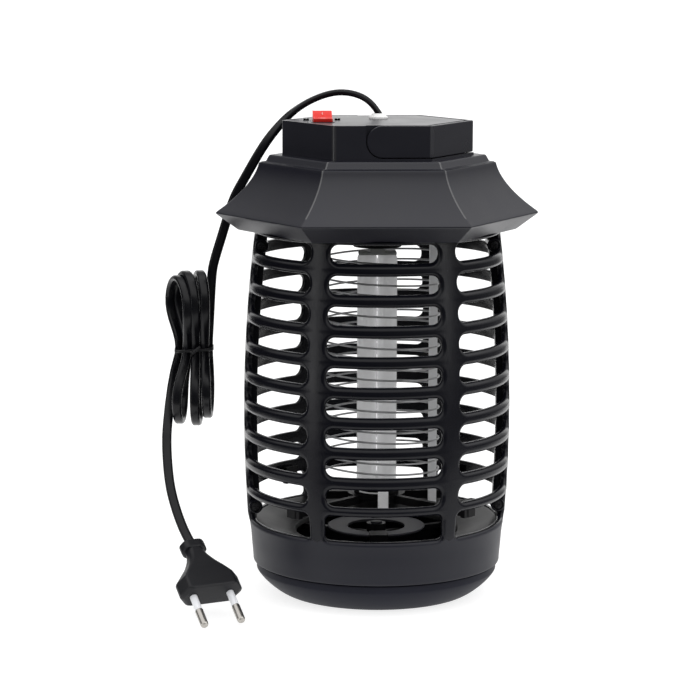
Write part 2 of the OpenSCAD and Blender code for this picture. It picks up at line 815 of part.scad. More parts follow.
module plug_pins() {
    color("#c8c2ba") in_plug_frame() for (s = [-1, 1]) translate([s * pin_gap / 2, 0, 0]) {
        translate([0, 0, -sleeve_len]) cylinder(sleeve_len + pin_root, r = pin_core_r);
        translate([0, 0, -pin_len + 0.6]) cylinder(pin_len - sleeve_len - 0.6, r = pin_r);
        translate([0, 0, -pin_len]) cylinder(0.6, r = 1.6);
    }
}

collection_tray();
rubber_feet();
tray_lock_ring();
cage_front();
cage_rear();
cage_screws();
catch_funnel();
lower_spider();
deflector_dish();
grid_bottom_plate();
lamp_holder();
contact_tab();
contact_wire();
grid_strips();
grid_wire_live();
grid_wire_return();
grid_top_plate();
lamp_tube();
lamp_base();
lamp_socket();
roof();
roof_screws();
housing_base();
top_housing();
housing_bolts();
carry_handle();
handle_pivots();
switch_body();
switch_rocker();
rocker_pin();
switch_terminals();
switch_screws();
circuit_board();
capacitors();
diodes();
bleed_resistor();
lamp_choke();
terminal_block();
cord_gland();
cord();
cord_hank();
cord_tie();
plug_body();
plug_sleeves();
plug_pins();
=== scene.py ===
"""The looks of an electric bug zapper, built round its CAD frame.

Pieces are given in millimetres, and MM turns them into metres. The camera, the lights and the
floor are given in metres. The frame has +Z up, the front at -Y and its origin on the floor below
the lamp.
"""
import math
from contextlib import contextmanager

import bmesh
import bpy
from mathutils import Euler, Matrix, Vector


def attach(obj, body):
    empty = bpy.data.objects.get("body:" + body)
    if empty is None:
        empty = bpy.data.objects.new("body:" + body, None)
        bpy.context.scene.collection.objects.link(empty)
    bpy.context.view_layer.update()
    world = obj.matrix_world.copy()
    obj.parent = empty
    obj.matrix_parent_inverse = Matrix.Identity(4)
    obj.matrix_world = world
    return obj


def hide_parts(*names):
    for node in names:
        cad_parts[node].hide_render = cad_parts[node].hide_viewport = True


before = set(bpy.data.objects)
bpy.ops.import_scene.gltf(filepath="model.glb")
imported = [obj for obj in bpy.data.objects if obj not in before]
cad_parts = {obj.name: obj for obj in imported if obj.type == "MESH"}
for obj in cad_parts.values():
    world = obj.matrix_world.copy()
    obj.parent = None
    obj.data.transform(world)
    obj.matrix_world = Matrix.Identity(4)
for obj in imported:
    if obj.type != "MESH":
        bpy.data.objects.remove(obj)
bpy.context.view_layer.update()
MM = 0.001
COS30 = math.cos(math.radians(30))


# ------------------------ mesh helpers
def lerp(a, b, t):
    return a + (b - a) * t


def smoothstep(t):
    t = min(1.0, max(0.0, t))
    return t * t * (3 - 2 * t)


def polar(r, degrees, z=0.0):
    a = math.radians(degrees)
    return Vector((r * math.cos(a), r * math.sin(a), z))


def along(table, x):
    """Reads a value from (x, value) pairs, straight between them."""
    for (x0, v0), (x1, v1) in zip(table, table[1:]):
        if x <= x1:
            return lerp(v0, v1, max(0.0, (x - x0) / (x1 - x0)))
    return table[-1][1]


def spline_points(points):
    """Points along a smooth curve through the given ones, a few for each stretch."""
    steps = 4
    pts = [Vector(p) for p in points]
    pts = [2 * pts[0] - pts[1], *pts, 2 * pts[-1] - pts[-2]]
    out = []
    for i in range(1, len(pts) - 2):
        a, b, c, d = pts[i - 1 : i + 3]
        for k in range(steps):
            t = k / steps
            out.append(0.5 * (2 * b + (c - a) * t + (2 * a - 5 * b + 4 * c - d) * t**2
                              + (3 * b - a - 3 * c + d) * t**3))
    out.append(pts[-2])
    return out


def add_object(name, data):
    obj = bpy.data.objects.new(name, data)
    bpy.context.scene.collection.objects.link(obj)
    return obj


def raw_mesh(name, verts, faces):
    mesh = bpy.data.meshes.new(name)
    mesh.from_pydata([Vector(v) * MM for v in verts], [], faces)
    return add_object(name, mesh)


@contextmanager
def editing(obj):
    """Opens an object's mesh for changes and writes it back."""
    bm = bmesh.new()
    bm.from_mesh(obj.data)
    yield bm
    bm.to_mesh(obj.data)
    bm.free()


def weld(bm, reach):
    bmesh.ops.remove_doubles(bm, verts=bm.verts, dist=reach * MM)


def fill_holes(bm):
    bmesh.ops.holes_fill(bm, edges=[e for e in bm.edges if e.is_boundary], sides=0)


def tidy(obj, angle=38, reach=0.01, fill=False):
    """Welds, turns normals outward and keeps edges sharper than the angle crisp."""
    limit = math.radians(angle)
    with editing(obj) as bm:
        weld(bm, reach)
        if fill:
            fill_holes(bm)
        bmesh.ops.recalc_face_normals(bm, faces=bm.faces)
        for face in bm.faces:
            face.smooth = True
        for edge in bm.edges:
            edge.smooth = len(edge.link_faces) != 2 or edge.calc_face_angle(0) < limit
    normals = obj.modifiers.new("normals", "WEIGHTED_NORMAL")
    normals.keep_sharp = True
    normals.weight = 60
    return obj


def dress(obj, material, body, slot, *nodes, second=None):
    """Gives a piece its material, its body and the CAD nodes that it stands for.

    A piece with a second material already has its faces numbered, and clearing would undo that.
    """
    if not second:
        obj.data.materials.clear()
    obj.data.materials.append(material)
    if second:
        obj.data.materials.append(second)
    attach(obj, body)
    if nodes:
        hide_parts(*nodes)
    return obj


def ring_faces(loops, size, closed=True, first=0):
    """Quads between successive loops of size vertices each, from vertex number first on."""
    faces = []
    for i in range(loops - 1):
        for k in range(size if closed else size - 1):
            m = (k + 1) % size
            a = first + i * size
            faces.append((a + k, a + m, a + size + m, a + size + k))
    return faces


def loft(name, loops, caps=True):
    """A skin through loops of equally many points, with a face over each end for caps."""
    count, size = len(loops), len(loops[0])
    faces = ring_faces(count, size)
    if caps:
        faces += [tuple(range(size)), tuple(range((count - 1) * size, count * size))]
    return raw_mesh(name, [point for loop in loops for point in loop], faces)


def revolve(name, profile, steps=96, centre=(0, 0), closed=False):
    """A turned piece from (radius, height) points. closed joins the last point to the first."""
    rows = profile + profile[:1] if closed else profile
    turns = [2 * math.pi * k / steps for k in range(steps)]
    loops = [[(centre[0] + r * math.cos(a), centre[1] + r * math.sin(a), z) for a in turns]
             for r, z in rows]
    return loft(name, loops, caps=False)


def sweep(name, path, width_dirs, section, closed=False):
    """A section, in (across, through) pairs, carried along a path. width_dirs points its width.

    A closed sweep ends in a copy of its first loop, which tidy welds to the first one.
    """
    count = len(path)
    loops = []
    for i, p in enumerate(path):
        before = path[i - 1] if closed or i else path[0]
        after = path[(i + 1) % count] if closed or i < count - 1 else path[-1]
        d = (after - before).normalized()
        w = width_dirs[i]
        w = (w - d * w.dot(d)).normalized()
        n = d.cross(w)
        loops.append([p + w * u + n * v for u, v in section])
    if closed:
        loops.append(loops[0])
    return loft(name, loops, caps=not closed)


def circle_section(r, sides):
    return [(r * math.cos(2 * math.pi * k / sides), r * math.sin(2 * math.pi * k / sides))
            for k in range(sides)]


def join(name, objects):
    """One object from several, with each one's shape left where it is."""
    bm = bmesh.new()
    for obj in objects:
        obj.data.transform(obj.matrix_world)
        bm.from_mesh(obj.data)
    mesh = bpy.data.meshes.new(name)
    bm.to_mesh(mesh)
    bm.free()
    for obj in objects:
        bpy.data.objects.remove(obj)
    return add_object(name, mesh)


def bevel_edges(obj, width, segments=2, angle=30, pick=None):
    """Rounds the edges sharper than the angle, or only those of them that pick accepts."""
    flat, limit = math.radians(1.5), math.radians(angle)
    with editing(obj) as bm:
        weld(bm, 0.01)
        bmesh.ops.dissolve_limit(bm, angle_limit=flat, verts=bm.verts, edges=bm.edges)
        edges = [e for e in bm.edges if len(e.link_faces) == 2
                 and e.calc_face_angle(0) > limit and (pick is None or pick(e))]
        bmesh.ops.bevel(bm, geom=edges, offset=width * MM, segments=segments, profile=0.5,
                        affect="EDGES", clamp_overlap=True)


def refined(name, node, width, segments=2, wide=None):
    """A finer copy of a CAD node, with its edges rounded. wide rounds chosen edges first."""
    obj = add_object(name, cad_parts[node].data.copy())
    if wide:
        bevel_edges(obj, wide[0], 3, pick=wide[1])
    bevel_edges(obj, width, segments)
    return obj


# ------------------------ materials
def moulded(name, color, roughness, grain=0.03, shade=0.16, specular=0.5, metallic=0.0,
            mottle=55, coat=0.0, glow=0.0):
    """Moulded plastic, rubber or metal: mottled colour, uneven gloss and a fine grain."""
    grain_scale, rough_swing = 2600, 0.07
    mat = bpy.data.materials.new(name)
    mat.use_nodes = True
    nodes, links = mat.node_tree.nodes, mat.node_tree.links
    shader = nodes["Principled BSDF"]
    place = nodes.new("ShaderNodeTexCoord")
    patches = nodes.new("ShaderNodeTexNoise")
    patches.inputs["Scale"].default_value = mottle
    patches.inputs["Detail"].default_value = 4
    fine = nodes.new("ShaderNodeTexNoise")
    fine.inputs["Scale"].default_value = grain_scale
    fine.inputs["Detail"].default_value = 2
    tint = nodes.new("ShaderNodeMix")
    tint.data_type = "RGBA"
    tint.inputs["A"].default_value = (*[c * (1 - shade) for c in color], 1)
    tint.inputs["B"].default_value = (*[min(1, c * (1 + shade)) for c in color], 1)
    gloss = nodes.new("ShaderNodeMapRange")
    gloss.inputs["To Min"].default_value = roughness - rough_swing
    gloss.inputs["To Max"].default_value = roughness + rough_swing
    bump = nodes.new("ShaderNodeBump")
    bump.inputs["Strength"].default_value = 0.5
    bump.inputs["Distance"].default_value = grain * MM
    for texture in (patches, fine):
        links.new(place.outputs["Object"], texture.inputs["Vector"])
    links.new(patches.outputs["Fac"], tint.inputs["Factor"])
    links.new(patches.outputs["Fac"], gloss.inputs["Value"])
    links.new(fine.outputs["Fac"], bump.inputs["Height"])
    links.new(tint.outputs["Result"], shader.inputs["Base Color"])
    links.new(gloss.outputs["Result"], shader.inputs["Roughness"])
    links.new(bump.outputs["Normal"], shader.inputs["Normal"])
    shader.inputs["Metallic"].default_value = metallic
    shader.inputs["Specular IOR Level"].default_value = specular
    shader.inputs["Coat Weight"].default_value = coat
    # glow makes a surface shine by itself: on the floor it keeps the floor evenly bright, on the
    # other pieces it is painted light
    shader.inputs["Emission Color"].default_value = (1, 1, 1, 1)
    shader.inputs["Emission Strength"].default_value = glow
    return mat


CAGE = moulded("cage_black", (0.0044, 0.0046, 0.0078), 0.25, specular=0.24)
BAND = moulded("band_black", (0.0058, 0.0063, 0.013), 0.46, specular=0.36)
ROOF = moulded("roof_black", (0.0068, 0.007, 0.0145), 0.38, grain=0.05, specular=0.52)
# a lighter material for the rounded corners of the roof and the collar: a painted highlight along
# the ridges
RIDGE_HIGHLIGHT = moulded("ridge_painted_highlight", (0.085, 0.085, 0.09), 0.3, grain=0.02, specular=0.6)
BOX = moulded("box_black", (0.0185, 0.0188, 0.0255), 0.3, grain=0.01, specular=0.36)
HANDLE = moulded("handle_black", (0.0178, 0.018, 0.0246), 0.3, grain=0.01, specular=0.36)
TRAY = moulded("tray_black", (0.0135, 0.0142, 0.0215), 0.5, specular=0.1)
INNER = moulded("inner_black", (0.003, 0.003, 0.0038), 0.42, specular=0.18)
SOCKET = moulded("socket_black", (0.002, 0.002, 0.0025), 0.5, specular=0.2)
RUBBER = moulded("foot_rubber", (0.012, 0.012, 0.012), 0.8, grain=0.1, specular=0.3)
DISH = moulded("dish_grey", (0.052, 0.052, 0.062), 0.5, mottle=110, shade=0.5, specular=0.2)
# the contact tab is metal; its near-white colour without metalness and its glow are painted light,
# standing in for the metal's bright shine
TAB = moulded("tab_metal", (0.95, 0.95, 0.96), 0.34, shade=0.04, glow=0.16)
LEAD = moulded("lead_white", (0.92, 0.92, 0.91), 0.4, shade=0.03)
# the glow on the white grid strips is painted light
STRIP = moulded("strip_white", (0.72, 0.725, 0.74), 0.42, shade=0.08, mottle=120, glow=0.08)
WIRE = moulded("grid_wire", (0.42, 0.42, 0.43), 0.34, metallic=0.7, grain=0.01, shade=0.1)
NECK = moulded("lamp_base_grey", (0.4, 0.41, 0.4), 0.45)
STEEL = moulded("zinc_steel", (0.55, 0.55, 0.57), 0.3, metallic=1.0, shade=0.08)
SCREW = moulded("dark_screw", (0.015, 0.015, 0.017), 0.35, metallic=0.5)
# dark sunk screw heads, made near black and almost without gloss: painted shade of the holes they
# sit in
SUNK_SCREW_PAINTED_SHADE = moulded("sunk_screw_painted_shade", (0.002, 0.002, 0.002), 0.75, specular=0.05)
# a lighter material for the box's rounded upright corners: a painted highlight along them
BOX_EDGE_HIGHLIGHT = moulded("box_edge_painted_highlight", (0.034, 0.034, 0.038), 0.3, grain=0.01, specular=0.5)
RED = moulded("rocker_red", (0.86, 0.03, 0.02), 0.28, grain=0.01, shade=0.05)
MARK = moulded("mark_pink", (0.86, 0.42, 0.4), 0.45, grain=0.01, shade=0.03)
# the glow on the white gland is painted light
GLAND = moulded("gland_white", (0.93, 0.93, 0.92), 0.34, shade=0.02, glow=0.08)
CORD = moulded("cord_pvc", (0.0035, 0.0037, 0.0054), 0.27, grain=0.01, specular=0.28)
TIE = moulded("tie_black", (0.012, 0.012, 0.013), 0.38)
PLUG = moulded("plug_black", (0.0065, 0.0067, 0.009), 0.42, grain=0.06, specular=0.3)
SLEEVE = moulded("sleeve_white", (0.88, 0.89, 0.92), 0.34, shade=0.02, grain=0.01)
NICKEL = moulded("pin_nickel", (0.46, 0.44, 0.41), 0.32, metallic=1.0, grain=0.01, shade=0.08)
BRASS = moulded("terminal_brass", (0.72, 0.52, 0.22), 0.3, metallic=1.0)
BOARD = moulded("board_green", (0.03, 0.16, 0.06), 0.4, mottle=200)
FILM = moulded("capacitor_film", (0.42, 0.09, 0.04), 0.25)
DIODE = moulded("diode_black", (0.012, 0.012, 0.012), 0.4)
RESISTOR = moulded("resistor_tan", (0.5, 0.38, 0.2), 0.5)
CHOKE = moulded("choke_grey", (0.22, 0.22, 0.23), 0.5, metallic=0.4)
CREAM = moulded("terminal_cream", (0.66, 0.62, 0.5), 0.45)

# the tube's glass over its phosphor; its glow is painted light that stands in for light shining
# through the glass
LAMP = moulded("lamp_glass", (0.74, 0.74, 0.755), 0.22, grain=0.01, shade=0.1, mottle=60,
               coat=0.5, glow=0.17)
LAMP.node_tree.nodes["Principled BSDF"].inputs["Coat Roughness"].default_value = 0.08


# ------------------------ camera
def make_camera():
    data = bpy.data.cameras.new("camera")
    data.sensor_width = 36
    data.lens = 133.35
    data.clip_end = 100
    cam = add_object("camera", data)
    cam.location = (-0.0777, -1.2757, 0.3218)
    cam.rotation_euler = (math.radians(90 - 8.89), math.radians(-0.15), math.radians(-2.86))
    bpy.context.scene.camera = cam


make_camera()

# ------------------------ cord
CORD_W, CORD_T = 4.8, 3.6
# the free cord's route from the gland to the hank, and from the hank to the plug
ROUTE_UPPER = [
    (1.6, 12.7, 238.4), (-2.2, 14.5, 243.6), (-7, 17, 247), (-13, 19.5, 248.7),
    (-20, 21.5, 248.8), (-28, 22.5, 246.6), (-36, 22.5, 242.7), (-43, 22, 237.6),
    (-49, 21, 231.3), (-54.5, 20.5, 224.4), (-60, 20, 215.7), (-65.5, 20, 206),
    (-70, 20, 198), (-73, 20, 190), (-75.5, 19.5, 182), (-78, 18, 174), (-80.5, 17, 166),
    (-82.5, 16, 158),
]
ROUTE_LOWER = [
    (-104.5, 2.5, 86), (-105, -1, 77), (-104.5, -6.5, 66), (-103, -13.5, 55),
    (-100, -21, 45.5), (-96.5, -28, 37.5), (-92.6, -34.9, 31.5),
]
TIE_Z = 121.7
HANK_HALF = 24
# the y of the rear and the front strands, at the lobes and at the tie
LOBE_Y, WAIST_Y = (24.2, -4.2), (14.6, 5.4)
# each strand's x at the top lobe, at the tie and at the bottom lobe, from right to left
STRANDS = [
    (-82.8, -84.0, -83.4), (-85.4, -85.8, -85.2), (-90.4, -88.4, -88.6),
    (-90.4, -90.4, -91.0), (-99.3, -94.2, -96.6), (-94.0, -94.4, -100.0),
    (-103.6, -98.0, -104.0),
]
# how much higher each strand's upper and lower end sit
TOP_LIFT = (0, 0, 0, -0.6, -0.6, -3.0, -3.0)
FOOT_LIFT = (4.0, 4.0, 0.2, 0.2, 1.2, 1.2, 2.0)
# how far the strands turn on edge at the tie
EDGE_TURN = math.radians(52)


def strand(index, down):
    """Points and width directions of one strand of the hank, between its two lobes."""
    top_x, tie_x, foot_x = STRANDS[index]
    side = index % 2
    steps = 12
    points, widths = [], []
    for k in range(steps + 1):
        t = k / steps if down else 1 - k / steps
        up = 1 - 2 * t
        share = math.sin(math.pi / 2 * abs(up)) ** 2
        end_x = top_x if up > 0 else foot_x
        lift = TOP_LIFT[index] if up > 0 else FOOT_LIFT[index]
        z = TIE_Z + up * HANK_HALF + lift * abs(up)
        points.append(Vector((
            lerp(tie_x, end_x, share), lerp(WAIST_Y[side], LOBE_Y[side], share), z)))
        turn = EDGE_TURN * (1 - share)
        widths.append(Vector((math.cos(turn), math.sin(turn), 0)))
    return points, widths


def lobe(a, b, up):
    """A half circle from strand end a to strand end b, over the top or under the foot."""
    centre, arm = (a + b) / 2, (a - b) / 2
    radius = arm.length
    steps = 14
    points = []
    for k in range(1, steps):
        angle = math.pi * k / steps
        rise = Vector((0, 0, radius * math.sin(angle) * (1 if up else -1)))
        points.append(centre + arm * math.cos(angle) + rise)
    across = Vector((arm.y, -arm.x, 0)).normalized()
    if across.x < 0:
        across = -across
    return points, [across] * len(points)


def cord_course():
    """The whole cord: over the roof, through the hank's turns and down to the plug."""
    upper = spline_points(ROUTE_UPPER)
    path = list(upper)
    widths = []
    for i in range(len(upper)):
        ahead = upper[min(i + 1, len(upper) - 1)] - upper[max(i - 1, 0)]
        flat = Vector((-ahead.z, 0, ahead.x)).normalized()
        if flat.x < 0:
            flat = -flat
        turn = smoothstep((i / (len(upper) - 1) - 0.3) / 0.35)
        widths.append((Vector((0, -1, 0)) * (1 - turn) + flat * turn).normalized())
    last = len(STRANDS) - 1
    for index in range(len(STRANDS)):
        points, dirs = strand(index, index % 2 == 0)
        # the free cord takes over from two points of the first and of the last strand
        start, stop = (2 if index == 0 else 0), (-2 if index == last else None)
        path += points[start:stop]
        widths += dirs[start:stop]
        if index < last:
            following = strand(index + 1, index % 2 == 1)[0][0]
            points, dirs = lobe(path[-1], following, index % 2 == 1)
            path += points
            widths += dirs
    lower = spline_points(ROUTE_LOWER)
    path += lower
    widths += [Vector((1, 0, 0))] * len(lower)
    return even_out(path, widths)


def even_out(path, widths):
    """Softens both lists, so that joints between stretches don't show."""
    for _ in range(3):
        path = [path[0], *[(a + 2 * b + c) / 4 for a, b, c in zip(path, path[1:], path[2:])],
                path[-1]]
        widths = [widths[0], *[((a + 2 * b + c) / 4).normalized()
                               for a, b, c in zip(widths, widths[1:], widths[2:])], widths[-1]]
    return path, widths


def twin_section():
    """The outline of a flat twin cord: two round cores side by side with a groove between."""
    half = (CORD_W - CORD_T) / 2
    groove = 0.17
    points = []
    for x, y in circle_section(1, 20):
        dip = groove * math.exp(-((x * 2.6) ** 2))
        points.append((x * CORD_T / 2 + half * math.tanh(3 * x), y * CORD_T / 2 * (1 - dip)))
    return points


def make_cord():
    path, widths = cord_course()
    obj = sweep("mains_cord", path, widths, twin_section())
    tidy(obj, angle=60)
    dress(obj, CORD, "main", "cord_pvc", "cord", "cord_hank")
    return obj, path


def make_tie():
    """A twist tie: a flat band round the waist, and its two ends twisted together in front."""
    left, right = STRANDS[-1][1] - 2.6, STRANDS[0][1] + 2.4
    front, back = WAIST_Y[1] - 2.9, WAIST_Y[0] + 2.9
    corner = 3.2
    loop = []
    for cx, cy, start in ((right - corner, back - corner, 0), (left + corner, back - corner, 90),
                          (left + corner, front + corner, 180),
                          (right - corner, front + corner, 270)):
        for k in range(7):
            a = math.radians(start + 15 * k)
            tilt = 0.06 * (cx + corner * math.cos(a) - left)
            loop.append(Vector((cx + corner * math.cos(a), cy + corner * math.sin(a),
                                TIE_Z - 0.6 + tilt)))
    band = sweep("band", loop, [Vector((0, 0, 1))] * len(loop),
                 [(0.55, 0.3), (-0.55, 0.3), (-0.72, 0.1), (-0.72, -0.1), (-0.55, -0.3),
                  (0.55, -0.3), (0.72, -0.1), (0.72, 0.1)], closed=True)
    parts = [band]
    turns, twist_r, end_r, steps = 2.2, 0.55, 0.5, 28
    x_from, x_to, fork_at, fork_h = -88.2, -92.6, 0.82, 1.6
    for phase in (0, math.pi):
        helix, across = [], []
        for k in range(steps + 1):
            t = k / steps
            a = phase + 2 * math.pi * turns * t
            spread = twist_r * min(1, t / 0.1)
            fork = max(0.0, (t - fork_at) / (1 - fork_at)) * (fork_h if phase else -fork_h)
            centre = Vector((lerp(x_from, x_to, t), front - 1.1 - 0.3 * t,
                             TIE_Z + lerp(1.8, -1.4, t) + fork))
            helix.append(centre + Vector((0, math.cos(a), math.sin(a))) * spread)
            across.append(Vector((0, -math.sin(a), math.cos(a))))
        parts.append(sweep("end", helix, across, circle_section(end_r, 8)))
    return dress(tidy(join("twist_tie", parts)), TIE, "main", "tie_black", "cord_tie")


PLUG_AT = Vector((-82.7, -60.7, 12.8))
PLUG_TURN = Euler([math.radians(a) for a in (-56, -1.5, 20)]).to_matrix()


def in_plug_frame(obj):
    """Moves a piece from its own axes, with the pins downward, to the plug's place."""
    obj.data.transform(Matrix.Translation(PLUG_AT * MM) @ PLUG_TURN.to_4x4())
    return obj


def plug_section(half_w, half_t, face_share, round_mm):
    """A flat hexagon with round corners, which turns into a rounded bar as face_share grows."""
    face_w = half_w * face_share
    corners = [(half_w, -0.14 * half_t), (half_w, 0.14 * half_t), (face_w, half_t),
               (-face_w, half_t), (-half_w, 0.14 * half_t), (-half_w, -0.14 * half_t),
               (-face_w, -half_t), (face_w, -half_t)]
    points = []
    for i in range(len(corners)):
        p, q, r = (Vector(corners[j % 8]) for j in (i - 1, i, i + 1))
        before, after = (p - q), (r - q)
        reach = min(round_mm, 0.45 * before.length, 0.45 * after.length)
        a, b = q + before.normalized() * reach, q + after.normalized() * reach
        for k in range(6):
            t = k / 5
            points.append(tuple(a * (1 - t) ** 2 + q * 2 * t * (1 - t) + b * t**2))
    return points


def make_plug():
    """Flat two-pin plug: a six-sided body that narrows to a neck and ends in a collar."""
    # height above the pin face, half width, half thickness, face's share of the width, rounding
    sections = [
        (0.0, 1.0, 0.6, 0.7, 0.4), (0.0, 13.4, 5.9, 0.74, 0.9), (0.2, 14.0, 6.4, 0.74, 1.0),
        (0.7, 15.2, 6.7, 0.74, 1.0), (1.3, 15.8, 6.8, 0.74, 1.0), (8.2, 15.8, 6.8, 0.74, 1.0),
        (8.9, 15.4, 6.8, 0.74, 1.0), (11.5, 13.2, 6.7, 0.74, 1.2), (13.2, 11.8, 6.6, 0.74, 1.4),
        (16.4, 9.2, 6.05, 0.74, 1.6), (17.4, 8.5, 5.9, 0.74, 1.8), (20.0, 7.0, 5.4, 0.74, 2.0),
        (22.5, 5.8, 4.95, 0.72, 2.2), (25.0, 5.0, 4.5, 0.7, 2.4), (27.6, 4.6, 4.15, 0.68, 2.4),
        (28.3, 4.6, 4.1, 0.68, 2.4), (28.5, 6.0, 4.3, 0.68, 2.4), (28.9, 6.4, 4.45, 0.68, 2.4),
        (29.5, 6.5, 4.5, 0.68, 2.4), (32.4, 6.5, 4.5, 0.68, 2.4), (33.0, 6.3, 4.4, 0.68, 2.4),
        (33.35, 5.8, 4.1, 0.68, 2.4), (33.4, 3.4, 2.4, 0.68, 1.2), (33.4, 0.5, 0.4, 0.68, 0.2),
    ]
    loops = [[(x, y, z) for x, y in plug_section(w, t, share, soft)]
             for z, w, t, share, soft in sections]
    body = in_plug_frame(loft("plug_body_look", loops))
    tidy(body, angle=30)
    dress(body, PLUG, "main", "plug_plastic", "plug_body")
    sleeves, pins = [], []
    for x in (-9.3, 9.3):
        sleeves.append(in_plug_frame(revolve(
            "sleeve", [(0.1, 1.0), (1.85, 1.0), (1.85, -8.7), (1.75, -8.93), (1.6, -9.0),
                       (0.1, -9.0)], 32, (x, 0))))
        pins.append(in_plug_frame(revolve(
            "pin", [(0.1, -8.9), (1.9, -8.9), (2.0, -9.1), (2.0, -17.2), (1.93, -17.9),
                    (1.68, -18.5), (1.25, -18.87), (0.7, -19.0), (0.1, -19.0)], 32, (x, 0))))
    sleeve = tidy(join("plug_sleeves_look", sleeves), angle=50)
    dress(sleeve, SLEEVE, "main", "sleeve_white", "plug_sleeves")
    pin = tidy(join("plug_pins_look", pins), angle=50)
    dress(pin, NICKEL, "main", "pin_nickel", "plug_pins")
    return [body, sleeve, pin]


cord_piece, cord_path = make_cord()
tie_piece = make_tie()
plug_pieces = make_plug()


def make_gland():
    obj = revolve("cord_gland_look", [
        (0.1, 231), (3.5, 231), (3.5, 236.2), (4.5, 236.25), (4.75, 236.5), (4.75, 237.3),
        (4.5, 237.65), (4.0, 237.8), (3.6, 238.2), (3.3, 238.75), (2.9, 239.0), (0.1, 239.0)],
        48, (1, 13))
    tidy(obj)
    dress(obj, GLAND, "main", "gland_white", "cord_gland")


make_gland()

# ------------------------ cage
# the guard's largest radius, the height that it is at, and the radius of its upright curve
CAGE_R, WAIST_Z, BULGE = 66.4, 91, 732
WALL = 3.6
SLOT_ROWS, PITCH, SLOT_H, FIRST_SLOT_Z = 9, 14.65, 8.8, 181
FOOT_SLOT_Z, FOOT_SLOT_H = 38, 12.5
POST_W, FOOT_POST_W = 10.6, 9
CAGE_TOP_Z = 182.4
BAND_TABLE = [(16.2, 61.8), (19, 61.95), (25, 62.5), (31, 62.95), (35, 63.5), (38.5, 64.3),
              (42, 65.0)]
PANEL_PHI, EDGE_PHI = 30, 24.5
TOP_STEPS, CORNER_STEPS = 16, 6
QUARTERS = ((1, 1, 0), (-1, 1, 90), (-1, -1, 180), (1, -1, 270))
# the rim of an opening: how far out from its edge, and how deep
RIM = [(2.3, 0.0), (1.9, 0.05), (1.35, 0.24), (0.85, 0.6), (0.42, 1.1), (0.12, 1.6), (0.0, 2.2),
       (0.0, 3.1), (0.14, 3.45), (0.45, 3.6)]
SIDE_STRETCH = 1.15
REAR_LIFT = 2.1


def skin_r(z):
    """The guard's outer radius at a height."""
    if z < BAND_TABLE[-1][0]:
        return along(BAND_TABLE, z)
    return CAGE_R - (z - WAIST_Z) ** 2 / (2 * BULGE)


def slot_loop(half_w, half_h, corner, out, up_share):
    """An opening's outline as (across, height) pairs, moved outward by out."""
    w, r = half_w + out * SIDE_STRETCH, corner + out
    points = []
    for sx, sz, start in QUARTERS:
        h = half_h + out * (up_share if sz > 0 else 1)
        for k in range(CORNER_STEPS + 1):
            a = math.radians(start + 90 * k / CORNER_STEPS)
            points.append((sx * (w - r) + r * math.cos(a), sz * (h - r) + r * math.sin(a)))
        if start in (0, 180):
            for k in range(1, TOP_STEPS):
                points.append((sx * (w - r) * (1 - 2 * k / TOP_STEPS), sz * h))
    return points


def cell_loop(half_h, corner, low, high, middle):
    """The cell's rectangle as (degrees, height) pairs that match slot_loop's points."""
    points = []
    for sx, sz, start in QUARTERS:
        edge_z = high if sz > 0 else low
        side_z = middle + sz * (half_h - corner)
        for k in range(CORNER_STEPS + 1):
            f = k / CORNER_STEPS
            if start in (90, 270):
                f = 1 - f
            if f <= 0.5:
                points.append((sx * PANEL_PHI, lerp(side_z, edge_z, f / 0.5)))
            else:
                points.append((sx * lerp(PANEL_PHI, EDGE_PHI, (f - 0.5) / 0.5), edge_z))
        if start in (0, 180):
            for k in range(1, TOP_STEPS):
                points.append((sx * EDGE_PHI * (1 - 2 * k / TOP_STEPS), edge_z))
    return points


def edge_phis():
    """The degrees of the points along a cell's top edge, from one side to the other."""
    half = CORNER_STEPS // 2
    ends = [lerp(PANEL_PHI, EDGE_PHI, k / half) for k in range(half + 1)]
    middle = [EDGE_PHI * (1 - 2 * k / TOP_STEPS) for k in range(1, TOP_STEPS)]
    return ends + middle + [-p for p in reversed(ends)]


def slot_rows(lift):
    """The rows from the top: (foot, top, the rim's share above the top, corner rounding)."""
    rows = []
    for k in range(SLOT_ROWS):
        low = FIRST_SLOT_Z - SLOT_H - k * PITCH + lift
        if k:
            rows.append((low, low + SLOT_H, 1, 3.9))
        else:
            rows.append((low, low + SLOT_H - lift, 0.6, 3.2 if lift else 3.9))
    return rows + [(FOOT_SLOT_Z, FOOT_SLOT_Z + FOOT_SLOT_H, 0.9, 2.6)]


